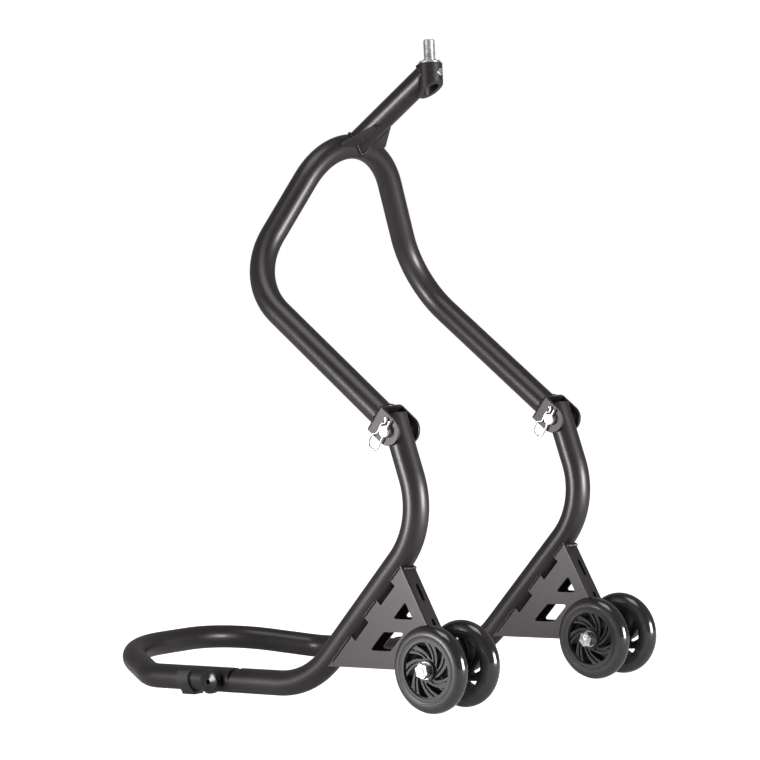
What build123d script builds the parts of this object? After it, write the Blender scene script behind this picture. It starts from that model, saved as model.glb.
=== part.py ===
"""Front paddock stand with a folding arch that lifts a motorcycle by its steering head.

+X runs from the handle loop towards the wheels, +Y to the left and +Z up.
The origin lies on the floor, at the middle of the whole stand.
"""
import os
from math import cos, radians, sin, sqrt, tan

from build123d import *

os.makedirs("parts", exist_ok=True)

# ---------------------------------------------------------------- driving dimensions (mm, degrees)
overall_length = 723.0           # end of the handle loop to the front of the wheels
leg_spacing = 352.0              # centre of one leg to centre of the other
tube_diameter = 33.7             # legs, arch and handle loop are the same one inch pipe
tube_wall = 2.6
bend_radius = 105.0              # knee, elbows and crown come off one bending die

wheel_diameter = 110.0
wheel_width = 24.0
wheel_gap = 40.8                 # between the two wheels that straddle a leg

pad_thickness = 4.65             # rubber under the base tubes
knee_reach = -24.5               # corner of the knee, from the axle
knee_height = 231.3
heel_reach = -228.0              # corner where the leg turns into its base tube, from the axle
heel_radius = 130.0
leg_lean = 17.3                  # the top of the leg leans back from the vertical
hinge_distance = 125.2           # knee corner to hinge pin
leg_end_height = 20.5            # hinge pin to the top of the leg

arm_rise = 39.4                  # lower arm of the arch, above the horizontal
arm_length = 323.0               # hinge pin to elbow corner
crown_lean = 15.2                # upper arch leans forward from the vertical
crown_taper = 32.3               # each upper arm leans inward by this much

stalk_diameter = 32.0
stalk_wall = 2.5
stalk_rise = 32.1                # above the horizontal
head_reach = 139.1               # crown to head pin, measured level

boss_diameter = 33.2
boss_top_height = 834.0
boss_length = 35.0               # on its axis: the foot is cut off parallel to the stalk
boss_bore = 20.2
head_pin_diameter = 15.0
head_pin_height = 31.4           # stands above the boss
head_pin_chamfer = 1.2
shank_length = 24.0
collar_diameter = 17.2
collar_height = 5.4
washer_diameter = 29.0
washer_thickness = 3.0
lock_screw_diameter = 10.0
lock_screw_drop = 13.0           # below the top of the boss
lock_screw_stand_out = 2.0
lock_screw_socket = 5.0          # across flats
lock_screw_socket_depth = 4.0
wing_plate = 4.0
wing_drop = 9.0                  # the wings lie below the stalk's centreline
wing_reach = 57.0                # along the stalk
wing_span = 44.0                 # to each side
wing_edge = 3.0                  # the narrow ends of a wing

clevis_plate = 4.0
clevis_width = 37.0
clevis_web_distance = 25.0       # hinge pin to the inside of the web
clevis_side_gap = 1.0            # between an ear and the leg
hinge_pin_diameter = 16.0
hinge_pin_stand_out = 8.0
hinge_pin_chamfer = 1.5
hinge_head_diameter = 25.0
hinge_head_height = 5.0
clip_wire = 2.8
clip_angle = 57.0                # the clip's straight leg, above the horizontal
clip_offset = 4.0                # ear to the middle of the clip

gusset_width = 26.0
gusset_sheet = 2.5
gusset_floor_height = 49.2
gusset_front_angle = 62.6        # the folded front, below the horizontal
gusset_top = 232.6               # along the sloping leg, from the heel corner
gusset_top_depth = 18.5          # from the leg's centreline
fold_radius = 3.0
axle_lobe = 34.0                 # the cheeks end in a round of this width about the axle
front_end_height = 82.0          # the folded front stops here, and only the cheeks go on down
cutout_depth = 46.5              # leg's centreline to the near side of both lightening holes
cutout_corner = 2.0
window_width = 24.5
window_low = 72.2
window_high = 96.5
triangle_low = 113.4
triangle_margin = 18.3           # folded front to the triangle
weld_gaps = ((107.0, 141.0), (172.0, 207.0))   # along the leg, from the heel corner
weld_gap_depth = 21.5
front_slot_length = 25.0
front_slot_width = 5.2
front_slot_tops = (20.0, 69.0)   # down the front, from its top

loop_seam_reach = -363.7         # where the handle loop slides on, from the axle
loop_shoulder_reach = -523.7
loop_shoulder_radius = 60.0
loop_end_half_width = 103.6
loop_end_radius = 128.0
loop_end_rise = 23.0             # the end of the loop is lifted clear of the floor
spigot_length = 92.0
spigot_wall = 2.5
handle_screw_reach = -387.5
handle_knob_diameter = 31.0
handle_knob_height = 10.0
handle_knob_edge = 1.2           # radius of its edges
handle_screw_diameter = 8.0
handle_socket = 6.0              # across the flats of the hex socket in the knob
pad_reach = -445.0
pad_length = 22.0
pad_wrap_height = 9.8            # the pad grips the tube to this height above its centre
pad_side = 3.4
pad_shoulder = 10.0              # below the tube's centre, the pad narrows towards the floor
pad_floor_width = 18.0

axle_diameter = 10.0
bearing_outer = 22.0
bearing_width = 6.0
bearing_recess = 0.8             # the bearings lie this far inside the hub's faces
inner_race_diameter = 13.6
race_gap = 1.2                   # between the inner and outer halves of a bearing
sleeve_diameter = 12.6
hub_diameter = 79.0
hub_rim = 4.5
hub_wall = 2.3                   # round each bearing
hub_dish = 4.0                   # the spokes stand back from the wheel's faces
hub_spokes = 7
swirl = 42.0                     # how far a spoke turns between the boss and the rim
pocket_span = 26.0               # of the pocket at the rim, as an angle
pocket_root_span = 14.0          # and at the boss
pocket_corner = 1.2
pocket_wall = 2.2                # left round the boss at the inner end of a pocket
pocket_lip = 0.8                 # and inside the rim at the outer end
groove_width = 2.2
groove_depth = 3.0
groove_offset = 13.0             # behind the pocket that it follows, as an angle
axle_washer_thickness = 2.0
bolt_head_height = 6.4
bolt_across_flats = 17.0
nut_height = 8.0
bolt_stand_out = 2.5             # beyond the nut
bolt_turn = 12.0                 # how the head and the nut happen to stand
nut_turn = 20.0

running_fit = 0.05               # radial, a shaft in its hole
sliding_fit = 0.15               # radial, parts that are pushed together by hand
free_gap = 0.3                   # between faces that pass each other
edge_break = 0.8                 # small chamfers on turned parts

# ---------------------------------------------------------------- places worked out from them
tube_radius = tube_diameter / 2
leg_y = leg_spacing / 2
axle_x = overall_length / 2 - wheel_diameter / 2
axle_z = wheel_diameter / 2
base_z = pad_thickness + tube_radius
knee = Vector(axle_x + knee_reach, 0, knee_height)
heel = Vector(axle_x + heel_reach, 0, base_z)
slope = (knee - heel).normalized()
slope_normal = Vector(slope.Z, 0, -slope.X)
leg_up = Vector(-sin(radians(leg_lean)), 0, cos(radians(leg_lean)))
hinge = knee + leg_up * hinge_distance
arm = Vector(-cos(radians(arm_rise)), 0, sin(radians(arm_rise)))
elbow = hinge + arm * arm_length
crown_up = Vector(sin(radians(crown_lean)), 0, cos(radians(crown_lean)))
apex = elbow + crown_up * (leg_y / tan(radians(crown_taper)))
crown = apex - crown_up * (bend_radius * (1 / sin(radians(crown_taper)) - 1))
stalk_dir = Vector(cos(radians(stalk_rise)), 0, sin(radians(stalk_rise)))
stalk_up = Vector(-stalk_dir.Z, 0, stalk_dir.X)
head_x = crown.X + head_reach
pin_bore_radius = hinge_pin_diameter / 2 + running_fit
ear_inside = tube_radius + clevis_side_gap
ear_outside = ear_inside + clevis_plate
loop_end_x = -overall_length / 2 + tube_radius
wheel_offset = (wheel_gap + wheel_width) / 2
across = Vector(0, 1, 0)
sides = {"right": -1, "left": 1}


def side_plane(y):
    """A sketch plane square to the Y axis, whose own x and y are the stand's X and Z."""
    return Plane((0, y, 0), x_dir=(1, 0, 0), z_dir=(0, -1, 0))


def at_side(point, y):
    """The same point of the side view, in the plane of a leg."""
    return Vector(point.X, y, point.Z)


def flat(point):
    """A point of the side view as sketch coordinates."""
    return (point.X, point.Z)


def keep(piece, name):
    """Label a finished piece and write it."""
    piece.part.label = name
    export_step(piece.part, f"parts/{name}.step")


def bent_tube(points, radii, outer, bore):
    """A tube, or a solid bar where bore is 0, along straight runs joined by arcs."""
    with BuildPart() as tube:
        with BuildLine() as path:
            FilletPolyline(*points, radius=radii)
        with BuildSketch(Plane(path.line @ 0, z_dir=path.line % 0)):
            Circle(outer)
            if bore:
                Circle(bore, mode=Mode.SUBTRACT)
        sweep()
    return tube


# ---------------------------------------------------------------- legs, their end caps and gussets
leg_end = hinge + leg_up * (leg_end_height + tube_radius)
stop_gap = 0.2                   # the arch comes to rest this close to the leg
corner_gap = 0.65                # the corner behind the stop clears the web by this much
corner_turn = 40.0
stop_plane = Plane(hinge + arm * (clevis_web_distance - stop_gap), z_dir=arm)
top_plane = Plane(hinge + leg_up * leg_end_height, z_dir=leg_up)
nose_dir = leg_up.rotate(Axis.Y, corner_turn)
nose_plane = Plane(hinge + nose_dir * (clevis_web_distance - corner_gap), z_dir=nose_dir)
cap_depth = 6.0
cap_dome = 1.0                   # the cap stands out of the tube before it is trimmed


def leg_route(y):
    """Centreline of a leg: hinge end, knee, heel and the seam with the handle loop."""
    seam = Vector(axle_x + loop_seam_reach, 0, base_z)
    return [at_side(point, y) for point in (leg_end, knee, heel, seam)]


def trim_leg_end():
    """Cut the top of a leg square, with corners that pass inside the clevis."""
    for cut in (stop_plane, top_plane, nose_plane):
        split(bisect_by=cut, keep=Keep.BOTTOM)


def gusset_point(along, depth):
    """A point beside the sloping leg, measured from the heel corner and its centreline."""
    return heel + slope * along + slope_normal * depth


def at_height(point, direction, height):
    """Where a slanted line comes to a given height."""
    return point + direction * ((height - point.Z) / direction.Z)


def crossing(point, direction, other, other_direction):
    """Where two slanted lines of the side view cross."""
    gap = other - point
    turn = direction.X * other_direction.Z - direction.Z * other_direction.X
    return point + direction * ((gap.X * other_direction.Z - gap.Z * other_direction.X) / turn)


def outline(points):
    """A filled polygon from points of the side view."""
    Polygon(*[flat(point) for point in points], align=None)


front_dir = Vector(cos(radians(gusset_front_angle)), 0, -sin(radians(gusset_front_angle)))
front_normal = Vector(-front_dir.Z, 0, front_dir.X)
gusset_tip = gusset_point(gusset_top, gusset_top_depth)
gusset_toe = at_height(gusset_tip, front_dir, gusset_floor_height)
tuck = tube_radius / 2           # the sheet is cut to the tube, so its outline starts inside it
gusset_back = at_height(gusset_point(0, tuck), slope, gusset_floor_height)
gusset_outline = [gusset_back, gusset_toe, gusset_tip, gusset_point(gusset_top, tuck)]
inside_tip = gusset_tip - front_normal * gusset_sheet
inside_outline = [
    gusset_point(0, -tube_radius),
    heel + Vector(0, 0, -tube_diameter),
    Vector(axle_x + axle_lobe, 0, 0),
    Vector(axle_x + axle_lobe, 0, front_end_height),
    at_height(inside_tip, front_dir, front_end_height),
    inside_tip - front_dir * axle_lobe,
    gusset_point(gusset_top + axle_lobe, -tube_radius),
]
cutout_line = gusset_point(0, cutout_depth)
window_line = gusset_point(0, cutout_depth + window_width)
triangle_line = gusset_tip - front_normal * triangle_margin
window = [
    at_height(cutout_line, slope, window_low),
    at_height(cutout_line, slope, window_high),
    at_height(window_line, slope, window_high),
    at_height(window_line, slope, window_low),
]
triangle = [
    at_height(cutout_line, slope, triangle_low),
    crossing(cutout_line, slope, triangle_line, front_dir),
    at_height(triangle_line, front_dir, triangle_low),
]

for name, side in sides.items():
    y = side * leg_y
    route = leg_route(y)
    leg_bar = bent_tube(route, [bend_radius, heel_radius], tube_radius, 0)

    with BuildPart() as leg:
        add(bent_tube(route, [bend_radius, heel_radius], tube_radius, tube_radius - tube_wall).part)
        trim_leg_end()
        with Locations(Plane(at_side(hinge, y), z_dir=across)):
            Cylinder(pin_bore_radius, tube_diameter + 2, mode=Mode.SUBTRACT)
    keep(leg, f"{name}_leg_tube")

    with BuildPart() as cap:
        cap_foot = at_side(hinge + leg_up * (leg_end_height - cap_depth), y)
        with BuildSketch(Plane(cap_foot, z_dir=leg_up)):
            Circle(tube_radius - tube_wall)
        extrude(amount=cap_depth + cap_dome)
        trim_leg_end()
    keep(cap, f"{name}_leg_cap")

    # One folded sheet: two cheeks and a front, open at the back and below.
    plane = side_plane(y)
    with BuildPart() as gusset:
        with BuildSketch(plane):
            outline(gusset_outline)
        extrude(amount=gusset_width / 2, both=True)
        fillet(gusset.edges().filter_by(Axis((0, 0, 0), front_dir)), fold_radius)
        with BuildSketch(plane):
            with Locations((axle_x, axle_z)):
                Circle(axle_lobe / 2)
        extrude(amount=gusset_width / 2, both=True)
        # Inside of the fold, and the whole width below the end of the front.
        with BuildSketch(plane):
            outline(inside_outline)
        extrude(amount=gusset_width / 2 - gusset_sheet, both=True, mode=Mode.SUBTRACT)
        # Lightening holes through both cheeks: a window and a triangle beside the leg.
        with BuildSketch(plane) as cutouts:
            outline(window)
            outline(triangle)
            fillet(cutouts.vertices(), cutout_corner)
        extrude(amount=gusset_width, both=True, mode=Mode.SUBTRACT)
        # Gaps in the weld line along the leg.
        with BuildSketch(plane):
            for start, end in weld_gaps:
                outline(
                    [
                        gusset_point(start, 0),
                        gusset_point(start, weld_gap_depth),
                        gusset_point(end, weld_gap_depth),
                        gusset_point(end, 0),
                    ]
                )
        extrude(amount=gusset_width, both=True, mode=Mode.SUBTRACT)
        # Two slots down the folded front.
        for start in front_slot_tops:
            slot_centre = at_side(gusset_tip + front_dir * (start + front_slot_length / 2), y)
            with BuildSketch(Plane(slot_centre, x_dir=front_dir, z_dir=front_normal)):
                SlotOverall(front_slot_length, front_slot_width)
            extrude(amount=2 * gusset_sheet, both=True, mode=Mode.SUBTRACT)
        with Locations(Plane((axle_x, y, axle_z), z_dir=across)):
            Cylinder(axle_diameter / 2 + running_fit, gusset_width + 2, mode=Mode.SUBTRACT)
        add(leg_bar.part, mode=Mode.SUBTRACT)
    keep(gusset, f"{name}_gusset_box")


# ---------------------------------------------------------------- handle loop and what joins it on
seam_x = axle_x + loop_seam_reach
loop_shoulder = Vector(axle_x + loop_shoulder_reach, 0, base_z)
loop_route = [
    Vector(seam_x - free_gap, -leg_y, base_z),
    Vector(loop_shoulder.X, -leg_y, base_z),
    Vector(loop_end_x, -loop_end_half_width, base_z + loop_end_rise),
    Vector(loop_end_x, loop_end_half_width, base_z + loop_end_rise),
    Vector(loop_shoulder.X, leg_y, base_z),
    Vector(seam_x - free_gap, leg_y, base_z),
]
loop_radii = [loop_shoulder_radius, loop_end_radius, loop_end_radius, loop_shoulder_radius]
handle_screw_x = axle_x + handle_screw_reach
knob_foot = tube_radius + 2.0
spigot_radius = tube_radius - tube_wall - sliding_fit
pad_half = tube_radius + pad_side
pad_mouth = 2 * sqrt(tube_radius**2 - pad_wrap_height**2)

with BuildPart() as handle_loop:
    add(bent_tube(loop_route, loop_radii, tube_radius, tube_radius - tube_wall).part)
    for side in sides.values():
        with Locations(Plane((handle_screw_x, side * leg_y, base_z), z_dir=across * side)):
            Cylinder(
                handle_screw_diameter / 2 + sliding_fit,
                tube_diameter,
                align=(Align.CENTER, Align.CENTER, Align.MIN),
                mode=Mode.SUBTRACT,
            )
keep(handle_loop, "handle_loop")

for name, side in sides.items():
    y = side * leg_y

    with BuildPart() as spigot:
        with BuildSketch(Plane((seam_x - spigot_length / 2, y, base_z), z_dir=(1, 0, 0))):
            Circle(spigot_radius)
            Circle(spigot_radius - spigot_wall, mode=Mode.SUBTRACT)
        extrude(amount=spigot_length)
        with Locations(Plane((handle_screw_x, y, base_z), z_dir=across * side)):
            Cylinder(
                handle_screw_diameter / 2 + running_fit,
                tube_diameter,
                align=(Align.CENTER, Align.CENTER, Align.MIN),
                mode=Mode.SUBTRACT,
            )
    keep(spigot, f"{name}_handle_spigot")

    # A round knob with a hex socket, on a screw that bites into the spigot.
    knob_plane = Plane((handle_screw_x, y + side * knob_foot, base_z), z_dir=across * side)
    with BuildPart() as knob:
        with BuildSketch(knob_plane):
            Circle(handle_knob_diameter / 2)
        extrude(amount=handle_knob_height)
        fillet(knob.edges().group_by(Axis.Y)[0], handle_knob_edge)
        fillet(knob.edges().group_by(Axis.Y)[-1], handle_knob_edge)
        with BuildSketch(knob_plane):
            Circle(handle_screw_diameter / 2)
        extrude(amount=-(knob_foot - spigot_radius + spigot_wall + 1))
        with BuildSketch(knob_plane):
            Circle(handle_screw_diameter * 0.9)
        extrude(amount=-(knob_foot - tube_radius - sliding_fit))
        with BuildSketch(knob_plane.offset(handle_knob_height)):
            RegularPolygon(handle_socket / 2, 6, major_radius=False)
        extrude(amount=-handle_knob_height / 2, mode=Mode.SUBTRACT)
    keep(knob, f"{name}_handle_screw")

    # A rubber saddle that snaps over the tube and stands on the floor.
    with BuildPart() as pad:
        pad_end = Vector(axle_x + pad_reach - pad_length / 2, y, 0)
        with BuildSketch(Plane(pad_end, x_dir=across, z_dir=(1, 0, 0))):
            with BuildLine():
                Polyline(
                    (-pad_half, base_z + pad_wrap_height),
                    (-pad_half, base_z - pad_shoulder),
                    (-pad_floor_width / 2, 0),
                    (pad_floor_width / 2, 0),
                    (pad_half, base_z - pad_shoulder),
                    (pad_half, base_z + pad_wrap_height),
                    close=True,
                )
            make_face()
            with Locations((0, base_z)):
                Circle(tube_radius, mode=Mode.SUBTRACT)
            with Locations((0, base_z + tube_radius)):
                Rectangle(pad_mouth, tube_diameter, mode=Mode.SUBTRACT)
        extrude(amount=pad_length)
    keep(pad, f"{name}_foot_pad")

# ---------------------------------------------------------------- wheels, axles and bearings
hub_radius = hub_diameter / 2
bearing_radius = bearing_outer / 2
race_radius = inner_race_diameter / 2
outer_race_bore = race_radius + race_gap
rim_inside = hub_radius - hub_rim
boss_radius = bearing_radius + hub_wall
tyre_seat = 1.5                  # the tyre is this much narrower each side where it sits on the hub
rim_step = 1.0                   # and the hub's rim stands this far inside the wheel's faces


def polar(radius, angle):
    """A sketch point from a radius and an angle."""
    return (radius * cos(radians(angle)), radius * sin(radians(angle)))


# Outline of one pocket of the hub, and of the groove in the spoke beside it.
pocket_start = boss_radius + pocket_wall
pocket_end = rim_inside - pocket_lip
pocket_middle = (pocket_start + pocket_end) / 2
bow = 0.62 * swirl               # a spoke has turned this far by its middle
belly = 0.55 * (pocket_span + pocket_root_span)   # width of a pocket there, as an angle
with BuildSketch(mode=Mode.PRIVATE) as pocket:
    with BuildLine():
        ThreePointArc(polar(pocket_start, 0), polar(pocket_middle, bow), polar(pocket_end, swirl))
        ThreePointArc(
            polar(pocket_end, swirl),
            polar(pocket_end, swirl + pocket_span / 2),
            polar(pocket_end, swirl + pocket_span),
        )
        ThreePointArc(
            polar(pocket_end, swirl + pocket_span),
            polar(pocket_middle, bow + belly),
            polar(pocket_start, pocket_root_span),
        )
        Line(polar(pocket_start, pocket_root_span), polar(pocket_start, 0))
    make_face()
    fillet(pocket.vertices(), pocket_corner)
with BuildSketch(mode=Mode.PRIVATE) as groove:
    with BuildLine(mode=Mode.PRIVATE) as groove_line:
        ThreePointArc(
            polar(boss_radius + groove_width, -groove_offset),
            polar(pocket_middle, bow - groove_offset),
            polar(rim_inside - groove_width, swirl - groove_offset),
        )
    SlotArc(groove_line.edge(), groove_width)


def wheel_nodes(name, y):
    """Tyre, hub and the outer halves of two bearings, centred at one place on the axle."""
    centre = Plane((axle_x, y, axle_z), x_dir=(1, 0, 0), z_dir=(0, -1, 0))
    half = wheel_width / 2
    section = Plane((axle_x, y, axle_z), x_dir=across, z_dir=(1, 0, 0))
    shoulder = wheel_diameter / 2 - half

    with BuildPart() as tyre:
        with BuildSketch(section):
            with BuildLine():
                Line((-half + tyre_seat, hub_radius), (half - tyre_seat, hub_radius))
                Line((half - tyre_seat, hub_radius), (half, shoulder))
                ThreePointArc((half, shoulder), (0, wheel_diameter / 2), (-half, shoulder))
                Line((-half, shoulder), (-half + tyre_seat, hub_radius))
            make_face()
        revolve(axis=Axis((axle_x, y, axle_z), (0, 1, 0)))
    keep(tyre, f"{name}_tyre")

    with BuildPart() as hub:
        with BuildSketch(centre.offset(-half + rim_step)):
            Circle(hub_radius)
            Circle(rim_inside, mode=Mode.SUBTRACT)
        extrude(amount=wheel_width - 2 * rim_step)
        with BuildSketch(centre.offset(-half)):
            Circle(boss_radius)
        extrude(amount=wheel_width)
        with BuildSketch(centre.offset(-half + hub_dish)):
            Circle((rim_inside + hub_radius) / 2)
        extrude(amount=wheel_width - 2 * hub_dish)
        # Swirling pockets right through, and a groove down the middle of each spoke.
        with BuildSketch(centre.offset(-half)):
            with PolarLocations(0, hub_spokes):
                add(pocket.sketch)
        extrude(amount=wheel_width, mode=Mode.SUBTRACT)
        for face in (-half + hub_dish, half - hub_dish - groove_depth):
            with BuildSketch(centre.offset(face)):
                with PolarLocations(0, hub_spokes):
                    add(groove.sketch)
            extrude(amount=groove_depth, mode=Mode.SUBTRACT)
        for face in (-half, half - bearing_recess - bearing_width):
            with BuildSketch(centre.offset(face)):
                Circle(bearing_radius)
            extrude(amount=bearing_width + bearing_recess, mode=Mode.SUBTRACT)
        with BuildSketch(centre.offset(-half)):
            Circle(outer_race_bore + free_gap)
        extrude(amount=wheel_width, mode=Mode.SUBTRACT)
    keep(hub, f"{name}_hub")

    with BuildPart() as races:
        for face in (-half + bearing_recess, half - bearing_recess - bearing_width):
            with BuildSketch(centre.offset(face)):
                Circle(bearing_radius)
                Circle(outer_race_bore, mode=Mode.SUBTRACT)
            extrude(amount=bearing_width)
    keep(races, f"{name}_bearing_outer_rings")


def ring_run(centre_plane, outer, inner, spans):
    """Separate rings on one axis, each between two distances along it."""
    with BuildPart() as rings:
        for start, end in spans:
            with BuildSketch(centre_plane.offset(start)):
                Circle(outer)
                Circle(inner, mode=Mode.SUBTRACT)
            extrude(amount=end - start)
    return rings


axle_hole = axle_diameter / 2 + running_fit
inner_face = wheel_offset - wheel_width / 2 + bearing_recess
outer_face = wheel_offset + wheel_width / 2 - bearing_recess
head_face = outer_face + axle_washer_thickness
bolt_end = head_face + nut_height + bolt_stand_out

for name, side in sides.items():
    y = side * leg_y
    wheel_nodes(f"{name}_outer_wheel", side * (leg_y + wheel_offset))
    wheel_nodes(f"{name}_inner_wheel", side * (leg_y - wheel_offset))

    # Distances along this plane are measured outwards from the leg.
    axle = Plane((axle_x, y, axle_z), z_dir=across * side)
    race_spans = []
    sleeve_spans = []
    for offset in (-wheel_offset, wheel_offset):
        start = offset - wheel_width / 2 + bearing_recess
        end = offset + wheel_width / 2 - bearing_recess
        race_spans += [(start, start + bearing_width), (end - bearing_width, end)]
        sleeve_spans += [(start + bearing_width, end - bearing_width)]
    keep(ring_run(axle, race_radius, axle_hole, race_spans), f"{name}_bearing_inner_rings")
    keep(ring_run(axle, sleeve_diameter / 2, axle_hole, sleeve_spans), f"{name}_bearing_sleeves")
    spacer_spans = [(-inner_face, -gusset_width / 2), (gusset_width / 2, inner_face)]
    keep(ring_run(axle, race_radius, axle_hole, spacer_spans), f"{name}_axle_spacers")
    washer_spans = [(-head_face, -outer_face), (outer_face, head_face)]
    keep(ring_run(axle, race_radius, axle_hole, washer_spans), f"{name}_axle_washers")

    with BuildPart() as bolt:
        with BuildSketch(axle.offset(-bolt_end)):
            Circle(axle_diameter / 2)
        extrude(amount=bolt_end + head_face)
        with BuildSketch(axle.offset(head_face)):
            RegularPolygon(bolt_across_flats / 2, 6, major_radius=False, rotation=bolt_turn)
        extrude(amount=bolt_head_height)
    keep(bolt, f"{name}_axle_bolt")

    with BuildPart() as nut:
        with BuildSketch(axle.offset(-head_face - nut_height)):
            RegularPolygon(bolt_across_flats / 2, 6, major_radius=False, rotation=nut_turn)
            Circle(axle_diameter / 2, mode=Mode.SUBTRACT)
        extrude(amount=nut_height)
    keep(nut, f"{name}_axle_nut")


# ---------------------------------------------------------------- arch, stalk and head
web_outside = hinge + arm * (clevis_web_distance + clevis_plate)
arch_route = [
    at_side(web_outside, -leg_y),
    at_side(elbow, -leg_y),
    apex,
    at_side(elbow, leg_y),
    at_side(web_outside, leg_y),
]
arch_radii = [bend_radius, bend_radius, bend_radius]
stalk_length = head_reach / stalk_dir.X
head_foot = Plane((head_x, 0, boss_top_height - boss_length), z_dir=stalk_up)

arch_tube = bent_tube(arch_route, arch_radii, tube_radius, tube_radius - tube_wall)
keep(arch_tube, "arch_tube")
arch_bar = bent_tube(arch_route, arch_radii, tube_radius, 0)

with BuildPart() as stalk:
    with BuildSketch(Plane(crown, z_dir=stalk_dir)):
        Circle(stalk_diameter / 2)
        Circle(stalk_diameter / 2 - stalk_wall, mode=Mode.SUBTRACT)
    extrude(amount=stalk_length)
    add(arch_bar.part, mode=Mode.SUBTRACT)
    with BuildSketch(Plane((head_x, 0, 0))):
        Circle(boss_diameter / 2)
    extrude(amount=boss_top_height + boss_length, mode=Mode.SUBTRACT)
keep(stalk, "stalk_tube")

with BuildPart() as stalk_bar:
    with BuildSketch(Plane(crown, z_dir=stalk_dir)):
        Circle(stalk_diameter / 2)
    extrude(amount=stalk_length)

# Flat wings in the corners between the stalk and the crown.
wing_plane = Plane(crown - stalk_up * wing_drop, x_dir=stalk_dir, z_dir=stalk_up)
wing_root = tube_radius          # along the stalk, where the wings come out of the crown
for name, side in sides.items():
    with BuildPart() as wing:
        with BuildSketch(wing_plane):
            with BuildLine():
                Polyline(
                    (0, 0),
                    (wing_reach, 0),
                    (wing_reach, side * stalk_diameter / 2),
                    (wing_reach - wing_edge, side * (stalk_diameter / 2 + wing_edge / 2)),
                    (wing_root, side * wing_span),
                    (0, side * wing_span),
                    close=True,
                )
            make_face()
        extrude(amount=wing_plate / 2, both=True)
        add(arch_bar.part, mode=Mode.SUBTRACT)
        add(stalk_bar.part, mode=Mode.SUBTRACT)
    keep(wing, f"{name}_stalk_wing")

screw_height = boss_top_height - lock_screw_drop
with BuildPart() as boss:
    with BuildSketch(Plane.XY.offset(boss_top_height)):
        with Locations((head_x, 0)):
            Circle(boss_diameter / 2)
            Circle(boss_bore / 2, mode=Mode.SUBTRACT)
    extrude(amount=-(boss_length + boss_diameter))
    split(bisect_by=head_foot, keep=Keep.TOP)
    chamfer(boss.edges().group_by(Axis.Z)[-1], edge_break)
    with Locations(Plane((head_x, 0, screw_height), z_dir=(1, 0, 0))):
        Cylinder(
            lock_screw_diameter / 2 + running_fit,
            boss_diameter,
            align=(Align.CENTER, Align.CENTER, Align.MIN),
            mode=Mode.SUBTRACT,
        )
keep(boss, "head_boss")

shank_radius = boss_bore / 2 - sliding_fit
with BuildPart() as head_washer:
    with BuildSketch(Plane.XY.offset(boss_top_height)):
        with Locations((head_x, 0)):
            Circle(washer_diameter / 2)
            Circle(collar_diameter / 2 + running_fit, mode=Mode.SUBTRACT)
    extrude(amount=washer_thickness)
    chamfer(head_washer.edges().group_by(Axis.Z)[-1].sort_by(SortBy.LENGTH)[-1], edge_break)
keep(head_washer, "head_washer")

with BuildPart() as head_pin:
    with BuildSketch(Plane.XY.offset(boss_top_height - shank_length)):
        with Locations((head_x, 0)):
            Circle(shank_radius)
    extrude(amount=shank_length)
    with BuildSketch(Plane.XY.offset(boss_top_height)):
        with Locations((head_x, 0)):
            Circle(collar_diameter / 2)
    extrude(amount=collar_height)
    with BuildSketch(Plane.XY.offset(boss_top_height)):
        with Locations((head_x, 0)):
            Circle(head_pin_diameter / 2)
    extrude(amount=head_pin_height)
    chamfer(head_pin.edges().group_by(Axis.Z)[-1], head_pin_chamfer)
keep(head_pin, "head_pin")

with BuildPart() as lock_screw:
    screw_foot = Plane((head_x + boss_bore / 2, 0, screw_height), z_dir=(1, 0, 0))
    screw_length = (boss_diameter - boss_bore) / 2 + lock_screw_stand_out
    with BuildSketch(screw_foot):
        Circle(lock_screw_diameter / 2)
    extrude(amount=screw_length)
    chamfer(lock_screw.edges().group_by(Axis.X)[-1], edge_break)
    with BuildSketch(screw_foot.offset(screw_length)):
        RegularPolygon(lock_screw_socket / 2, 6, major_radius=False)
    extrude(amount=-lock_screw_socket_depth, mode=Mode.SUBTRACT)
keep(lock_screw, "lock_screw")

# ---------------------------------------------------------------- hinges between arch and legs
ear_reach = clevis_web_distance + clevis_plate
clip_dir = Vector(cos(radians(clip_angle)), 0, sin(radians(clip_angle)))
clip_side = Vector(-clip_dir.Z, 0, clip_dir.X)
clip_bends = [8.0, 8.0, 7.0, 5.0, 4.0, 2.2]
clip_ride = hinge_pin_diameter / 2 + clip_wire / 2 + free_gap   # the sprung leg rides over the pin

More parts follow.
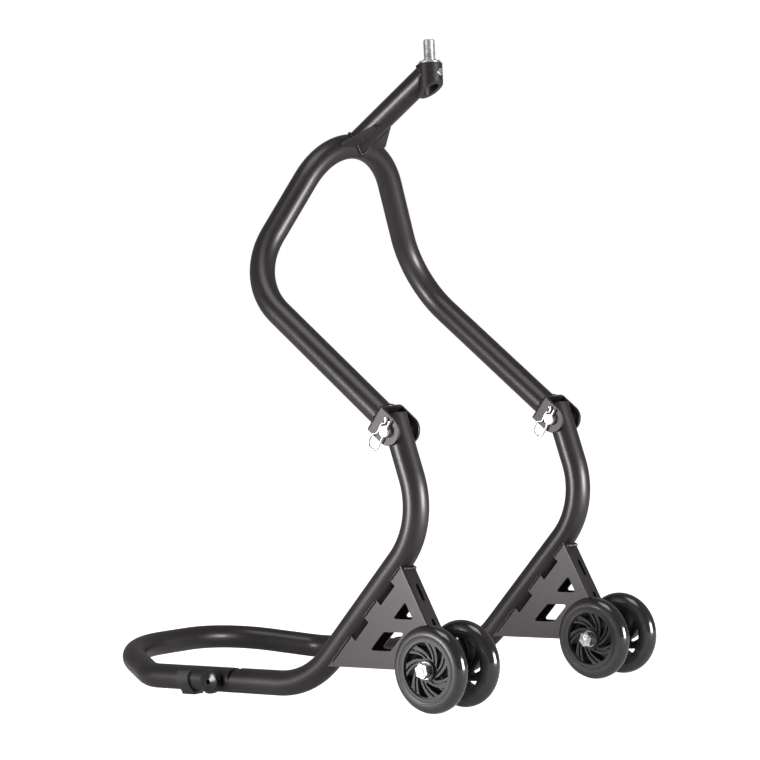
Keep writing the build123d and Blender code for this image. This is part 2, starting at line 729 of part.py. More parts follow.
for name, side in sides.items():
    y = side * leg_y
    pin_centre = at_side(hinge, y)

    # Web across the foot of the arch, with an ear folded down each side of the leg.
    with BuildPart() as clevis:
        with BuildSketch(Plane(pin_centre, x_dir=arm, z_dir=(0, -1, 0))):
            Circle(clevis_width / 2)
            with Locations((ear_reach / 2, 0)):
                Rectangle(ear_reach, clevis_width)
        extrude(amount=ear_outside, both=True)
        fillet(clevis.edges().filter_by(Axis((0, 0, 0), arm.cross(across))), clevis_plate)
        with BuildSketch(Plane(pin_centre, x_dir=arm, z_dir=(0, -1, 0))):
            with Locations((clevis_web_distance - clevis_width, 0)):
                Rectangle(2 * clevis_width, 2 * clevis_width)
        extrude(amount=ear_inside, both=True, mode=Mode.SUBTRACT)
        with Locations(Plane(pin_centre, z_dir=across)):
            Cylinder(pin_bore_radius, 3 * ear_outside, mode=Mode.SUBTRACT)
    keep(clevis, f"{name}_clevis")

    # Headed pin: the head is on the left of each hinge, the clip on the right.
    clip_y = y - ear_outside - clip_offset
    with BuildPart() as hinge_pin:
        head_plane = Plane(at_side(hinge, y + ear_outside), z_dir=across)
        with BuildSketch(head_plane):
            Circle(hinge_pin_diameter / 2)
        extrude(amount=-(2 * ear_outside + hinge_pin_stand_out))
        chamfer(hinge_pin.edges().group_by(Axis.Y)[0], hinge_pin_chamfer)
        with BuildSketch(head_plane):
            Circle(hinge_head_diameter / 2)
        extrude(amount=hinge_head_height)
        fillet(hinge_pin.edges().group_by(Axis.Y)[-1], hinge_head_height * 0.4)
        with Locations(Plane(at_side(hinge, clip_y), z_dir=clip_dir)):
            Cylinder(clip_wire / 2 + sliding_fit, 2 * hinge_pin_diameter, mode=Mode.SUBTRACT)
    keep(hinge_pin, f"{name}_hinge_pin")

    # Straight leg through the pin, round the closed end, and back over the top of the pin.
    clip_route = [
        at_side(hinge + clip_dir * along + clip_side * over, clip_y)
        for along, over in (
            (15.0, 0),
            (-31.0, 0),
            (-31.0, 17.0),
            (-14.0, 17.0),
            (-8.5, clip_ride),
            (5.5, clip_ride + free_gap),
            (9.5, 4.2),
            (15.0, 9.0),
        )
    ]
    clip = bent_tube(clip_route, clip_bends, clip_wire / 2, 0)
    keep(clip, f"{name}_hinge_clip")
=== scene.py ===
# %% [markdown]
# # A front paddock stand for a motorcycle
# The stand is a folding steel frame on four small wheels. Its tubes, plates, bolts and wheels
# come from the CAD model, already in place and in metres, so this script adds what a frame of
# plain solids lacks: finishes, weld beads, moulded tyres, seals, ribs and threads.
# It could be one long script, but cells let each piece be read and run by itself.

# %% Load the frame
from math import atan2, cos, hypot, pi, radians, sin, tan

import bmesh
import bpy
from mathutils import Matrix, Vector


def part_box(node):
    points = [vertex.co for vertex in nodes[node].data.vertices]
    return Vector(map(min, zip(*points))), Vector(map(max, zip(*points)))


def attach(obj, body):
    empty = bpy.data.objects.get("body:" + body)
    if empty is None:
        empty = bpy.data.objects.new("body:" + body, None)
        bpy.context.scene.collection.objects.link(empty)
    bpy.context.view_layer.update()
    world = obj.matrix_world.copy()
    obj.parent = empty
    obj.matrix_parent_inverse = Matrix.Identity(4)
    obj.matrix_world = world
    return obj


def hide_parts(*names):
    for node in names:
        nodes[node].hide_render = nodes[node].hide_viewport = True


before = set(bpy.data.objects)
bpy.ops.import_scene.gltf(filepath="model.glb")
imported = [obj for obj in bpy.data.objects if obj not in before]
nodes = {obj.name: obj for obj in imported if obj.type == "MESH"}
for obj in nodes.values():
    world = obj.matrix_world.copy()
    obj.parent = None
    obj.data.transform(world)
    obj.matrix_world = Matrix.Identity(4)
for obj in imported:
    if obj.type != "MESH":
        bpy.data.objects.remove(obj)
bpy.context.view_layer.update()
slot_of = {}
for name in nodes:
    slot_of[name] = nodes[name].material_slots[0].material.name
print(len(nodes), "nodes, slots", sorted(set(slot_of.values())))

# %% [markdown]
# The places that several pieces share are worked out from the boxes of the CAD nodes, and
# from the few sizes that a welder would know: the pipe, the plate and the slopes of the bends.

# %% Shared places and sizes
MM = 0.001


def corners(node):
    """Lowest and highest corners of a CAD node's box."""
    return [Vector(corner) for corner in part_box(node)]


def middle(node):
    """Centre of a CAD node's box."""
    low, high = corners(node)
    return (low + high) / 2


def in_mm(outline):
    """An outline's points, given in millimetres."""
    return [(radius * MM, height * MM) for radius, height in outline]


def slope(angle):
    """A direction in the side view, at an angle above straight ahead."""
    return Vector((cos(radians(angle)), 0, sin(radians(angle))))


ACROSS = Vector((0, 1, 0))
SIDES = {"right": -1, "left": 1}
tube_radius = 16.85 * MM
axle = middle("left_outer_wheel_tyre")
leg_y = middle("left_gusset_box").y
hinge = middle("left_hinge_pin")
hinge.y = 0
print("axle", axle, "hinge", hinge, "leg", leg_y)

# %% [markdown]
# The camera stands at the height of the stand's middle, ahead of the right wheels, and looks
# almost level. A long lens keeps the near and far legs close to the same size. Its place and
# turn are set as numbers, since nothing else in the scene depends on them.

# %% Camera
camera_data = bpy.data.cameras.new("camera")
camera_data.lens = 115.96
camera_data.sensor_width = 36.0
camera = bpy.data.objects.new("camera", camera_data)
turn = Matrix.Rotation(radians(39.85), 4, "Z") @ Matrix.Rotation(radians(89.89), 4, "X")
tilt = Matrix.Rotation(radians(-2.61), 4, "Z")
camera.matrix_world = Matrix.Translation((2.20985, -2.56172, 0.42139)) @ turn @ tilt
bpy.context.collection.objects.link(camera)
bpy.context.scene.camera = camera
bpy.context.scene.view_settings.view_transform = "Standard"
print("camera at", tuple(round(c, 3) for c in camera.location))

# %% [markdown]
# Black paint shows only what it mirrors. Two tall soft lights stand either side of the camera
# and draw the two pale bands down each tube, and a weak one above lifts the upward faces. An
# evenly bright room would flatten the paint, so the room itself stays dim where it is mirrored,
# and is white only behind the stand.

# %% Studio
stand_middle = Vector((0, 0, 0.35))


def softbox(name, azimuth, height, distance, width, tall, power):
    """An area light that faces the stand, hidden from the camera."""
    data = bpy.data.lights.new(name, "AREA")
    data.shape = "RECTANGLE"
    data.size = width
    data.size_y = tall
    data.energy = power
    light = bpy.data.objects.new(name, data)
    light.location = (
        distance * cos(radians(azimuth)),
        distance * sin(radians(azimuth)),
        height,
    )
    aim = (stand_middle - light.location).to_track_quat("-Z", "Y")
    light.rotation_euler = aim.to_euler()
    light.visible_camera = False
    bpy.context.collection.objects.link(light)
    return light


softbox("left_softbox", -108, 0.20, 2.1, 0.75, 0.8, 52)
softbox("right_softbox", 8, 0.25, 2.1, 0.85, 0.9, 78)
softbox("top_softbox", -60, 2.4, 0.8, 1.2, 1.2, 16)

world = bpy.data.worlds.new("studio")
bpy.context.scene.world = world
world.use_nodes = True
room = world.node_tree
room.nodes.clear()
path = room.nodes.new("ShaderNodeLightPath")
seen = room.nodes.new("ShaderNodeBackground")
seen.inputs["Strength"].default_value = 1.0
seen.inputs["Color"].default_value = (1, 1, 1, 1)
mirrored = room.nodes.new("ShaderNodeBackground")
mirrored.inputs["Strength"].default_value = 0.24
mirrored.inputs["Color"].default_value = (1, 0.95, 0.97, 1)
either = room.nodes.new("ShaderNodeMixShader")
out = room.nodes.new("ShaderNodeOutputWorld")
room.links.new(path.outputs["Is Camera Ray"], either.inputs[0])
room.links.new(mirrored.outputs[0], either.inputs[1])
room.links.new(seen.outputs[0], either.inputs[2])
room.links.new(either.outputs[0], out.inputs["Surface"])

# %% [markdown]
# A finish is a small network of nodes. Typing its sums as Python keeps it readable, so one class
# stands for a number that varies over a surface, and its operators add the Math nodes. A second
# class holds one material and makes every other node: its settings first, then its sockets.

# %% Shader maths
class Field:
    """A number that varies over a surface."""

    def __init__(self, tree, socket):
        self.tree = tree
        self.socket = socket

    def math(self, operation, first, second=None):
        node = self.tree.nodes.new("ShaderNodeMath")
        node.operation = operation
        for socket, value in zip(node.inputs, (first, second)):
            if isinstance(value, Field):
                self.tree.links.new(value.socket, socket)
            elif value is not None:
                socket.default_value = value
        return Field(self.tree, node.outputs[0])

    def __add__(self, other):
        return self.math("ADD", self, other)

    def __sub__(self, other):
        return self.math("SUBTRACT", self, other)

    def __rsub__(self, other):
        return self.math("SUBTRACT", other, self)

    def __mul__(self, other):
        return self.math("MULTIPLY", self, other)

    def __pow__(self, other):
        return self.math("POWER", self, other)

    __radd__ = __add__
    __rmul__ = __mul__

    def above(self, low, high):
        """0 below low, 1 above high, and a straight ramp between."""
        node = self.tree.nodes.new("ShaderNodeMapRange")
        node.clamp = True
        self.tree.links.new(self.socket, node.inputs["Value"])
        node.inputs["From Min"].default_value = low
        node.inputs["From Max"].default_value = high
        return Field(self.tree, node.outputs["Result"])


class Finish:
    """One material and its nodes."""

    def __init__(self, name):
        self.material = bpy.data.materials.new(name)
        self.material.use_nodes = True
        self.tree = self.material.node_tree
        self.tree.nodes.clear()
        self.shader = self.node("BsdfPrincipled")
        self.node("OutputMaterial", sockets={"Surface": self.shader.outputs[0]})
        self.place = self.node("TexCoord").outputs["Object"]

    def node(self, kind, settings=None, sockets=None):
        node = self.tree.nodes.new("ShaderNode" + kind)
        for key, value in (settings or {}).items():
            setattr(node, key, value)
        self.plug(node, sockets or {})
        return node

    def plug(self, node, sockets):
        for key, value in sockets.items():
            if isinstance(value, Field):
                self.tree.links.new(value.socket, node.inputs[key])
            elif isinstance(value, bpy.types.NodeSocket):
                self.tree.links.new(value, node.inputs[key])
            else:
                node.inputs[key].default_value = value

    def noise(self, scale, detail=3.0, stretch=None):
        """Cloudy noise with that many blobs to the metre, drawn out along an axis by a Mapping."""
        place = self.place
        if stretch:
            place = self.node("Mapping", sockets={"Vector": place, "Scale": stretch}).outputs[0]
        sockets = {"Vector": place, "Scale": scale, "Detail": detail}
        return Field(self.tree, self.node("TexNoise", sockets=sockets).outputs["Fac"])

    def axis(self, name):
        """One of the object's own coordinates, in metres."""
        split = self.node("SeparateXYZ", sockets={"Vector": self.place})
        return Field(self.tree, split.outputs[name])

    def mix(self, mask, first, second):
        """A colour between two others."""
        settings = {"data_type": "RGBA"}
        node = self.node("Mix", settings, {0: mask, 6: (*first, 1), 7: (*second, 1)})
        return node.outputs[2]

    def bump(self, height, distance, strength=1.0):
        sockets = {"Height": height, "Distance": distance, "Strength": strength}
        self.plug(self.shader, {"Normal": self.node("Bump", sockets=sockets).outputs[0]})


print("shader maths ready")

# %% [markdown]
# Powder coat is baked plastic dust: satin black, faintly warm, with the slight ripple called
# orange peel. A mirror-flat black would look like lacquer. Two noises do it: a fine one lifts
# the surface by a few hundredths of a millimetre, and a broad one varies how polished it is.

# %% Powder coat
powder = Finish("black_powder_coat_finish")
cloud = powder.noise(9.0, 4.0)
peel = powder.noise(420.0, 2.0)
speck = powder.noise(1900.0, 1.0)
worn = cloud.above(0.35, 0.7)
powder.plug(
    powder.shader,
    {
        "Base Color": powder.mix(worn, (0.0062, 0.0052, 0.0060), (0.0125, 0.0100, 0.0118)),
        "Roughness": 0.36 + 0.06 * worn + 0.04 * speck,
        "Coat Weight": 0.12 + 0.12 * worn,
        "Coat Roughness": 0.2,
        "Specular Tint": (1.0, 0.93, 0.96, 1),
    },
)
powder.bump(peel + 0.25 * speck, 0.00002, 0.3)
print(powder.material.name, len(powder.tree.nodes), "nodes")

# %% [markdown]
# The pins, bolts and clips are zinc plated: bright, a little blue, with faint turning marks that
# run round them. Noise squeezed along one direction gives such marks. The bearing races are
# ground steel, darker and smoother, so they get the same network with other numbers.

# %% Zinc plate and bearing steel
def steel(name, dark, bright, rough, mark_depth):
    finish = Finish(name)
    stain = finish.noise(90.0, 3.0).above(0.3, 0.75)
    marks = finish.noise(900.0, 1.0, (0.1, 0.1, 1.0)) + finish.noise(700.0, 1.0, (1.0, 0.1, 1.0))
    finish.plug(
        finish.shader,
        {
            "Base Color": finish.mix(stain, dark, bright),
            "Metallic": 1.0,
            "Roughness": rough + 0.12 * stain + 0.08 * marks,
        },
    )
    finish.bump(marks, mark_depth, 0.15)
    print(name, len(finish.tree.nodes), "nodes")
    return finish


zinc = steel("zinc_plate_finish", (0.62, 0.63, 0.66), (0.86, 0.86, 0.88), 0.16, 0.00003)
race_steel = steel("bearing_steel_finish", (0.34, 0.34, 0.36), (0.52, 0.52, 0.54), 0.22, 0.00002)

# %% [markdown]
# The tyres are cast polyurethane: a smoky, nearly black plastic whose tread polishes itself on
# the floor while the sidewalls stay dull. The distance from the axle tells tread from sidewall,
# and that distance doesn't change as the wheel turns. The sidewalls also get a paler colour, which
# is a painted soft reflection.

# %% Polyurethane
urethane = Finish("black_urethane_finish")
from_axle_x = urethane.axis("X") - axle.x
from_axle_z = urethane.axis("Z") - axle.z
from_axle = (from_axle_x * from_axle_x + from_axle_z * from_axle_z) ** 0.5
tread = from_axle.above(0.0465, 0.0505)
smoke = urethane.noise(60.0, 4.0).above(0.3, 0.7)
grain = urethane.noise(1500.0, 2.0)
urethane.plug(
    urethane.shader,
    {
        # The paler sidewall colour is painted reflection: the soft sheen of dull plastic, put into
        # the colour.
        "Base Color": urethane.mix(tread, (0.045, 0.038, 0.043), (0.008, 0.0075, 0.009)),
        "Roughness": 0.42 - 0.30 * tread + 0.07 * smoke,
        "Coat Weight": 0.15 + 0.5 * tread,
        "Coat Roughness": 0.08,
    },
)
urethane.bump(grain * (1.15 - tread), 0.00005, 0.5)
print(urethane.material.name, len(urethane.tree.nodes), "nodes")


# %% [markdown]
# Nylon hubs, glossy knobs and rubber pads are all moulded black plastics. They differ in how
# dark, how polished and how grainy they are, so one function makes the three.

# %% Nylon, plastic and rubber
def moulded(name, dark, pale, polish, spread, grain_scale, grain_depth):
    finish = Finish(name)
    patch = finish.noise(45.0, 4.0).above(0.3, 0.72)
    fine = finish.noise(grain_scale, 2.0)
    finish.plug(
        finish.shader,
        {
            "Base Color": finish.mix(patch, dark, pale),
            "Roughness": polish + spread * patch,
            "Specular IOR Level": 0.5,
        },
    )
    finish.bump(fine, grain_depth, 0.5)
    print(name, len(finish.tree.nodes), "nodes")
    return finish


nylon = moulded(
    "black_nylon_finish", (0.010,) * 3, (0.018, 0.017, 0.018), 0.34, 0.12, 1100.0, 0.00006
)
plastic = moulded("black_plastic_finish", (0.006,) * 3, (0.010,) * 3, 0.16, 0.08, 800.0, 0.00002)
rubber = moulded(
    "black_rubber_finish", (0.014,) * 3, (0.028, 0.027, 0.028), 0.52, 0.14, 1300.0, 0.00012
)

finishes = {
    "black_powder_coat": powder,
    "zinc_plate": zinc,
    "bearing_steel": race_steel,
    "black_urethane": urethane,
    "black_nylon": nylon,
    "black_plastic": plastic,
    "black_rubber": rubber,
}
for name in nodes:
    nodes[name].material_slots[0].link = "OBJECT"
    nodes[name].material_slots[0].material = finishes[slot_of[name]].material
print("finishes on", len(nodes), "nodes")

# %% [markdown]
# Punched plates and cast plastic have no knife edges. A small bevel catches a line of light
# along every edge, which the eye reads as thickness. CAD meshes are loose triangles, so they
# are welded and their flat faces joined before the bevel, all with modifiers that leave the
# mesh itself alone.

# %% Soft edges on the plates
def soften(node, width):
    """Weld, flatten, bevel and reshade a CAD node."""
    piece = nodes[node]
    weld = piece.modifiers.new("Weld", "WELD")
    weld.merge_threshold = 0.002 * MM
    flat = piece.modifiers.new("Flat faces", "DECIMATE")
    flat.decimate_type = "DISSOLVE"
    flat.angle_limit = radians(0.5)
    edge = piece.modifiers.new("Edge", "BEVEL")
    edge.width = width
    edge.segments = 2
    edge.limit_method = "ANGLE"
    edge.angle_limit = radians(35)
    shade = piece.modifiers.new("Shade", "WEIGHTED_NORMAL")
    shade.keep_sharp = True
    shade.weight = 100


for side in SIDES:
    soften(f"{side}_gusset_box", 0.5 * MM)
    soften(f"{side}_clevis", 0.6 * MM)
    soften(f"{side}_stalk_wing", 0.6 * MM)
    for place in ("outer", "inner"):
        soften(f"{side}_{place}_wheel_hub", 0.5 * MM)
soften("head_boss", 0.4 * MM)
print("bevels on", sum(1 for piece in nodes.values() if piece.modifiers), "nodes")

# %% [markdown]
# Every new piece ends the same way: its bmesh becomes an object at the origin, with the faces
# turned outwards, smooth shading, a finish from one of the record's slots, and a body to ride on.

# %% Finish a piece
made = []


SHARP_ABOVE = radians(40)


def finish_piece(bm, name, body, slot, place=None):
    """Turn a bmesh into a piece that rides on a body."""
    if place:
        bmesh.ops.transform(bm, matrix=place, verts=bm.verts)
    bmesh.ops.remove_doubles(bm, verts=bm.verts, dist=0.003 * MM)
    bmesh.ops.recalc_face_normals(bm, faces=bm.faces)
    for face in bm.faces:
        face.smooth = True
    for edge in bm.edges:
        if len(edge.link_faces) == 2 and edge.calc_face_angle(0) > SHARP_ABOVE:
            edge.smooth = False
    mesh = bpy.data.meshes.new(name)
    bm.to_mesh(mesh)
    bm.free()
    piece = bpy.data.objects.new(name, mesh)
    bpy.context.collection.objects.link(piece)
    mesh.materials.append(finishes[slot].material)
    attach(piece, body)
    made.append(name)
    return piece


def facing(point, direction):
    """A matrix that carries the local Z axis to a place and direction."""
    turn = Vector(direction).to_track_quat("Z", "Y").to_matrix().to_4x4()
    return Matrix.Translation(point) @ turn


def lathe(profile, steps=96):
    """A closed outline of (radius, height) pairs, spun about Z."""
    bm = bmesh.new()
    verts = [bm.verts.new((radius, 0, height)) for radius, height in profile]
    edges = [bm.edges.new(pair) for pair in zip(verts, verts[1:] + verts[:1])]
    bmesh.ops.spin(
        bm,
        geom=verts + edges,
        cent=(0, 0, 0),
        axis=(0, 0, 1),
        angle=2 * pi,
        steps=steps,
        use_merge=True,
    )
    return bm


def arc(centre, radius, start, end, steps):
    """Points of a round stretch of an outline, from one angle to another."""
    points = []
    for step in range(steps + 1):
        angle = radians(start + (end - start) * step / steps)
        points.append((centre[0] + radius * cos(angle), centre[1] + radius * sin(angle)))
    return points


print("piece maker ready")

# %% [markdown]
# A tyre is cast round its hub in a two-part mould: a full round tread, a flatter sidewall and a
# raised lip where the plastic meets the hub. It could be sculpted from a torus, but the section
# is known, so its outline is drawn once and spun about the axle. It replaces the plain CAD ring.

# %% Tyres
def tyre_outline():
    """Radius and height of the tyre's section, closed."""
    shoulder = 43 * MM
    half = 12 * MM
    lip = in_mm(
        [(39.55, 10.9), (40.1, 11.35), (41.0, 11.35), (41.4, 11.0), (42.0, 11.15), (42.4, 11.8)]
    )
    tread = arc((shoulder, 0), half, 90, -90, 40)
    back = [(radius, -height) for radius, height in reversed(lip)]
    return lip + tread + back


for side in SIDES:
    for place in ("outer", "inner"):
        wheel = f"{side}_{place}_wheel"
        tyre = finish_piece(
            lathe(tyre_outline(), 128),
            f"{wheel}_cast_tyre",
            wheel,
            "black_urethane",
            facing(middle(f"{wheel}_tyre"), ACROSS),
        )
        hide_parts(f"{wheel}_tyre")
print("tyres done,", len(made), "pieces")

# %% [markdown]
# Between the two races of each bearing sits a thin rubber seal with a step in it. Without it the
# eye would look straight through the bearing. Two seals close each wheel.

# %% Bearing seals
step = [(7.5, 0.0), (7.9, 0.0), (8.1, -0.2), (8.6, -0.2), (9.2, 0.12)]
seal_outline = in_mm([(6.95, -0.9), (6.95, -0.25)] + step + [(9.5, 0.12), (9.5, 0.02), (8.0, -0.9)])

for side in SIDES:
    for place in ("outer", "inner"):
        wheel = f"{side}_{place}_wheel"
        low, high = corners(f"{wheel}_bearing_outer_rings")
        for end, y, direction in (("right", low.y, -1), ("left", high.y, 1)):
            place_of_seal = facing((axle.x, y, axle.z), ACROSS * direction)
            name = f"{wheel}_{end}_seal"
            finish_piece(lathe(seal_outline, 64), name, wheel, "black_rubber", place_of_seal)
print("seals done,", len(made), "pieces")

# %% [markdown]
# The CAD model has the hexagons of the bolt heads and nuts. A real head is forged with a raised
# round face, and a lock nut carries a round collar with the bolt's threads standing out of it.
# All three are round, so each outline is drawn once and spun about the axle. The threads are
# rings and not a helix, which looks the same at this size.

# %% Bolt heads, nuts and threads
NEAR_AXIS = 0.02 * MM
THREAD_PITCH = 1.25 * MM


def threads(radius, length, pitch):
    """A stub of screw thread with a chamfered end, as rings."""
    outline = [(NEAR_AXIS, 0), (radius, 0)]
    turns = int(length / pitch)
    for turn in range(turns):
        outline.append((radius, (turn + 0.1) * pitch))
        outline.append((radius - 0.55 * pitch, (turn + 0.5) * pitch))
        outline.append((radius, (turn + 0.9) * pitch))
    outline.append((radius - 0.8 * MM, length))
    outline.append((NEAR_AXIS, length))
    return lathe(outline, 48)


collar_outline = in_mm([(5.1, 0), (7.4, 0), (7.2, 1.2), (6.6, 1.7), (5.1, 1.7)])
head_outline = in_mm([(7.9, -1), (7.9, 0), (7.5, 0.28), (5.0, 0.28), (4.6, 0.08)])
head_outline = [(NEAR_AXIS, -1 * MM)] + head_outline + [(NEAR_AXIS, 0.08 * MM)]
for side, sign in SIDES.items():
    nut_low, nut_high = corners(f"{side}_axle_nut")
    bolt_low, bolt_high = corners(f"{side}_axle_bolt")
    nut_face, stub_end, head_face = nut_low.y, bolt_low.y, bolt_high.y
    if sign < 0:
        nut_face, stub_end, head_face = nut_high.y, bolt_high.y, bolt_low.y
    inwards = facing((axle.x, nut_face, axle.z), ACROSS * -sign)
    outwards = facing((axle.x, head_face, axle.z), ACROSS * sign)
    stub = threads(5.05 * MM, abs(stub_end - nut_face) + 0.3 * MM, THREAD_PITCH)
    collar = lathe(collar_outline, 64)
    finish_piece(collar, f"{side}_axle_nut_collar", "base", "zinc_plate", inwards)
    finish_piece(stub, f"{side}_axle_bolt_thread", "base", "zinc_plate", inwards)
    finish_piece(lathe(head_outline, 64), f"{side}_axle_bolt_face", "base", "zinc_plate", outwards)
print("fasteners done,", len(made), "pieces")

# %% [markdown]
# A weld bead is a string of small overlapping puddles. Each bead here is a round section that is
# carried along a seam, swelling and shrinking as it goes, and the sections are bridged one to
# the next. A plain torus would be quicker, but its smooth skin looks like a rubber ring.

# %% Weld beads
PUDDLE = 3.2 * MM
SECTION = 10


def bead(path, size, closed=False, fade=True):
    """A rippled bead along a list of points."""
    bm = bmesh.new()
    loops = []
    count = len(path)
    travelled = 0.0
    for step, point in enumerate(path):
        before = path[step - 1] if step or closed else point
        after = path[(step + 1) % count] if step < count - 1 or closed else point
        travelled += (point - path[step - 1]).length if step else 0.0
        swell = 1.0 + 0.16 * cos(2 * pi * travelled / PUDDLE) + 0.05 * sin(1.7 * travelled / PUDDLE)
        if not closed and fade and step in (0, count - 1):
            swell *= 0.45
        ring = bmesh.ops.create_circle(
            bm,
            cap_ends=not closed and step in (0, count - 1),
            segments=SECTION,
            radius=size * swell,
            matrix=facing(point, (after - before).normalized()),
        )
        verts = set(ring["verts"])
        loops.append([edge for edge in bm.edges if verts.issuperset(edge.verts)])
    pairs = list(zip(loops, loops[1:]))
    if closed:
        pairs.append((loops[-1], loops[0]))
    for first, second in pairs:
        bmesh.ops.bridge_loops(bm, edges=first + second)
    return bm


def round_seam(centre, normal, radius, steps=120):
    """Points of a circle."""
    place = facing(centre, normal)
    turn = 2 * pi / steps
    spokes = [(cos(step * turn), sin(step * turn), 0) for step in range(steps)]
    return [place @ (Vector(spoke) * radius) for spoke in spokes]


def straight_seam(start, end, step=0.75 * MM):
    """Points of a straight run."""
    count = max(2, round((end - start).length / step))
    return [start.lerp(end, i / count) for i in range(count + 1)]


ARM_RISE = 39.4
arm = Vector((-cos(radians(ARM_RISE)), 0, sin(radians(ARM_RISE))))
web_outside = 29 * MM
for side, sign in SIDES.items():
    centre = hinge + arm * web_outside + ACROSS * sign * leg_y
    seam = round_seam(centre, arm, tube_radius + 0.8 * MM)
    weld = bead(seam, 2.1 * MM, closed=True)
    finish_piece(weld, f"{side}_clevis_weld", "arch", "black_powder_coat")
print("clevis welds done")

# %% [markdown]
# Each gusset is tacked to its leg on three tabs, on both cheeks, with a fat blob at the top.
# The seam runs where the flat cheek meets the round tube.

# %% Gusset welds
heel = Vector((axle.x - 228 * MM, 0, 21.5 * MM))
knee = Vector((axle.x - 24.5 * MM, 0, 231.3 * MM))
along = (knee - heel).normalized()
away = Vector((along.z, 0, -along.x))
cheek = 13 * MM
seam_depth = (tube_radius**2 - cheek**2) ** 0.5
tabs = ((58 * MM, 106 * MM), (142 * MM, 171 * MM), (208 * MM, 231 * MM))
for side, sign in SIDES.items():
    for face in (-1, 1):
        for count, (start, end) in enumerate(tabs, 1):
            ends = []
            for run in (start, end):
                ends.append(
                    heel + along * run + away * (seam_depth + 0.9 * MM)
                    + ACROSS * (sign * leg_y + face * (cheek + 0.3 * MM))
                )
            edge = "left" if face > 0 else "right"
            finish_piece(
                bead(straight_seam(*ends), 1.7 * MM),
                f"{side}_gusset_{edge}_weld_{count}",
                "base",
                "black_powder_coat",
            )
    tip = heel + along * 233.5 * MM + away * (tube_radius + 1.0 * MM) + ACROSS * sign * leg_y
    width = ACROSS * 11 * MM
    finish_piece(
        bead(straight_seam(tip - width, tip + width), 2.8 * MM),
        f"{side}_gusset_tip_weld",
        "base",
        "black_powder_coat",
    )
print("gusset welds done,", len(made), "pieces")

# %% [markdown]
# The stalk's two ends are cut to sit on round parts, so their seams are curves in space. Each
# point is found by walking along one line of the stalk until it meets the other part, which a
# few halvings of the distance do to a hundredth of a millimetre.

# %% Stalk and wing welds
STALK_RISE = 32.1
stalk_dir = slope(STALK_RISE)
stalk_up = Vector((-stalk_dir.z, 0, stalk_dir.x))
stalk_radius = 16 * MM
crown_lean = Vector((sin(radians(15.2)), 0, cos(radians(15.2))))
crown_bend = 105 * MM
head = middle("head_boss")
crown_normal = Vector((crown_lean.z, 0, -crown_lean.x))
crown = Vector((head.x - 139.1 * MM, 0, 736.2 * MM))
bend_centre = crown - crown_lean * crown_bend


def off_crown(point):
    """Distance from the skin of the bent crown tube."""
    arm_out = point - bend_centre
    ring = hypot(arm_out.dot(crown_lean), arm_out.y) - crown_bend
    return hypot(ring, arm_out.dot(crown_normal)) - tube_radius


def off_boss(point):
    """Distance inside the skin of the upright boss."""
    return hypot(point.x - head.x, point.y) - 16.6 * MM


def stalk_seam(gap, near, far, steps=110):
    """Where the stalk's skin meets another part, between two distances from the crown."""
    seam = []
    for step in range(steps):
        angle = 2 * pi * step / steps
        edge = crown + (stalk_up * cos(angle) + ACROSS * sin(angle)) * (stalk_radius + 0.7 * MM)
        low, high = near, far
        rising = gap(edge + stalk_dir * high) > gap(edge + stalk_dir * low)
        for _ in range(16):
            half = (low + high) / 2
            if (gap(edge + stalk_dir * half) > 0.6 * MM) == rising:
                high = half
            else:
                low = half
        seam.append(edge + stalk_dir * low)
    return seam


crown_seam = stalk_seam(off_crown, 0.0, 45 * MM)
crown_weld = bead(crown_seam, 2.0 * MM, closed=True)
finish_piece(crown_weld, "stalk_crown_weld", "arch", "black_powder_coat")
boss_seam = stalk_seam(off_boss, 164 * MM, 95 * MM)
boss_weld = bead(boss_seam, 1.7 * MM, closed=True)
finish_piece(boss_weld, "stalk_boss_weld", "arch", "black_powder_coat")

wing_foot = crown - stalk_up * 9 * MM
stalk_edge = (stalk_radius**2 - (9 * MM) ** 2) ** 0.5
for side, sign in SIDES.items():
    for face in (-1, 1):
        lift = stalk_up * face * 2.2 * MM
        start = wing_foot + stalk_dir * 22 * MM + ACROSS * sign * (stalk_edge + 0.9 * MM) + lift
        end = wing_foot + stalk_dir * 54 * MM + ACROSS * sign * (stalk_edge + 0.9 * MM) + lift
        level = "upper" if face > 0 else "lower"
        finish_piece(
            bead(straight_seam(start, end), 1.3 * MM),
            f"{side}_wing_{level}_weld",
            "arch",
            "black_powder_coat",
        )
print("stalk welds done,", len(made), "pieces")

# %% [markdown]
# The knob of a handle screw is moulded with fine rings on its face and ridges round its rim, so
# that fingers grip it. The CAD disc stays as the core. A ringed disc lies on its face, and a
# ribbed band goes round it: every other pair of columns of the band's skin stands out by about
# half a millimetre.

# %% Knob faces and grips
def ringed_face():
    """A thin disc with concentric grooves, open in the middle for the socket."""
    outline = [(3.9 * MM, -0.6 * MM), (3.9 * MM, 0.35 * MM), (5.2 * MM, 0.35 * MM)]
    for ring in range(5):
        foot = (5.6 + 1.7 * ring) * MM
        outline += [
            (foot, 0.08 * MM),
            (foot + 0.5 * MM, 0.08 * MM),
            (foot + 0.8 * MM, 0.35 * MM),
            (foot + 1.3 * MM, 0.35 * MM),
        ]
    outline += [(14.2 * MM, 0.0), (14.2 * MM, -0.6 * MM)]
    return lathe(outline, 96)


def ribbed_band(radius, height, ribs, depth):
    """A thin ring whose outer skin goes in and out round it."""
    inside = radius - 1.2 * MM
    low = 0.9 * MM
    top = height - low
    bm = lathe([(inside, low), (radius, low), (radius, top), (inside, top)], 4 * ribs)
    for vert in bm.verts:
        if hypot(vert.co.x, vert.co.y) > radius - 0.1 * MM:
            column = round(atan2(vert.co.y, vert.co.x) / (2 * pi) * 4 * ribs)
            if column % 4 < 2:
                vert.co.x *= 1 + depth / radius
                vert.co.y *= 1 + depth / radius
    return bm


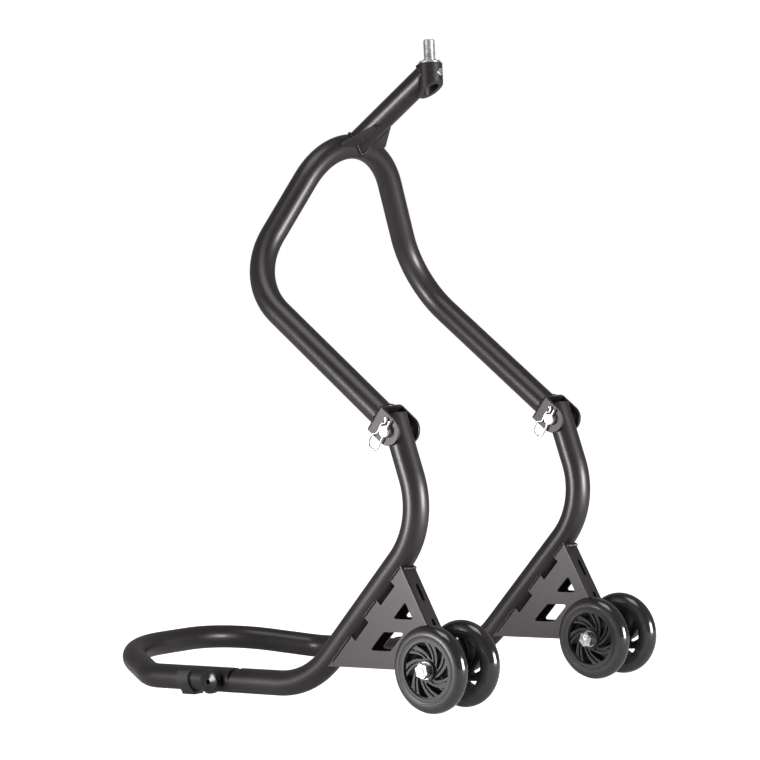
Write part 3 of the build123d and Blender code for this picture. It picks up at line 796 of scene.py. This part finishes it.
for side, sign in SIDES.items():
    low, high = corners(f"{side}_handle_screw")
    face_y = high.y if sign > 0 else low.y
    face = Vector(((low.x + high.x) / 2, face_y, (low.z + high.z) / 2))
    foot = face - ACROSS * sign * 10 * MM
    body = f"{side}_handle_screw"
    outwards = facing(face, ACROSS * sign)
    finish_piece(ringed_face(), f"{side}_knob_face", body, "black_plastic", outwards)
    finish_piece(
        ribbed_band(15.6 * MM, 10 * MM, 36, 0.45 * MM),
        f"{side}_knob_grip",
        body,
        "black_plastic",
        facing(foot, ACROSS * sign),
    )
print("knobs done,", len(made), "pieces")

# %% [markdown]
# The rubber feet are saddles that snap over the tube, with fine upright ribs on their sides and a
# rounded lip. The section is drawn once, as a thick horseshoe on a foot, and extruded along the
# tube in thin slices. Every other slice is drawn in a little, which makes the ribs.

# %% Rubber feet
def saddle(radius, wall, mouth_angle, sole_half, sole_drop, length, slices):
    """A horseshoe section round a tube along local X, with ribs."""
    bm = bmesh.new()
    inner = arc((0, 0), radius, 90 - mouth_angle, -270 + mouth_angle, 40)
    outer = arc((0, 0), radius + wall, 90 - mouth_angle, -18, 16)
    foot = [(sole_half + 1.2 * MM, -sole_drop + 2.2 * MM), (sole_half, -sole_drop)]
    side = outer + foot
    other = [(-y, z) for y, z in reversed(side)]
    ring = side + other + list(reversed(inner))
    start = -length / 2
    verts = [bm.verts.new((start, y, z)) for y, z in ring]
    face = bm.faces.new(verts)
    rows = [verts]
    region = [face]
    for _ in range(slices):
        grown = bmesh.ops.extrude_face_region(bm, geom=region, use_keep_orig=len(rows) == 1)
        moved = [item for item in grown["geom"] if isinstance(item, bmesh.types.BMVert)]
        bmesh.ops.translate(bm, verts=moved, vec=(length / slices, 0, 0))
        region = [item for item in grown["geom"] if isinstance(item, bmesh.types.BMFace)]
        rows.append(moved)
    for vert in bm.verts:
        column = round((vert.co.x - start) / length * slices)
        reach = hypot(vert.co.y, vert.co.z)
        if reach > radius + 0.5 * wall and vert.co.z > -sole_drop + 0.5 * MM:
            rim = column in (0, 1, slices - 1, slices)
            draw = 0.0 if rim or column % 2 else 0.55 * MM
            if column in (0, slices):
                draw = 0.8 * MM
            vert.co.y *= 1 - draw / reach
            vert.co.z *= 1 - draw / reach
    return bm


for side, sign in SIDES.items():
    low, high = corners(f"{side}_foot_pad")
    centre = Vector(((low.x + high.x) / 2, sign * leg_y, 21.5 * MM))
    wall = (high.y - low.y) / 2 - tube_radius
    pad = finish_piece(
        saddle(tube_radius, wall, 52, 9 * MM, centre.z, high.x - low.x, 22),
        f"{side}_ribbed_foot",
        "base",
        "black_rubber",
        Matrix.Translation(centre),
    )
    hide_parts(f"{side}_foot_pad")
print("feet done,", len(made), "pieces")

# %% [markdown]
# The floor is a plain pale sheet, wide enough that its edge is never seen. Lit by the soft lights
# alone it would be a dull grey against the white room, so it glows where it is looked at
# directly. In the stand's own reflections it stays a pale sheet, and the paint stays black.

# %% Floor
floor_mesh = bmesh.new()
bmesh.ops.create_grid(floor_mesh, x_segments=1, y_segments=1, size=14)
bmesh.ops.translate(floor_mesh, verts=floor_mesh.verts, vec=(0, 0, -0.2 * MM))
floor_data = bpy.data.meshes.new("floor")
floor_mesh.to_mesh(floor_data)
floor_mesh.free()
floor = bpy.data.objects.new("floor", floor_data)
bpy.context.collection.objects.link(floor)
pale = Finish("pale_floor")
directly_seen = Field(pale.tree, pale.node("LightPath").outputs["Is Camera Ray"])
pale.plug(
    pale.shader,
    {
        "Base Color": pale.mix(pale.noise(2.0), (0.80, 0.79, 0.80), (0.86, 0.85, 0.86)),
        "Roughness": 0.8,
        "Emission Color": pale.mix(directly_seen, (0.05, 0.05, 0.05), (1, 1, 1)),
        "Emission Strength": 0.96,
    },
)
floor_data.materials.append(pale.material)
print("floor done")
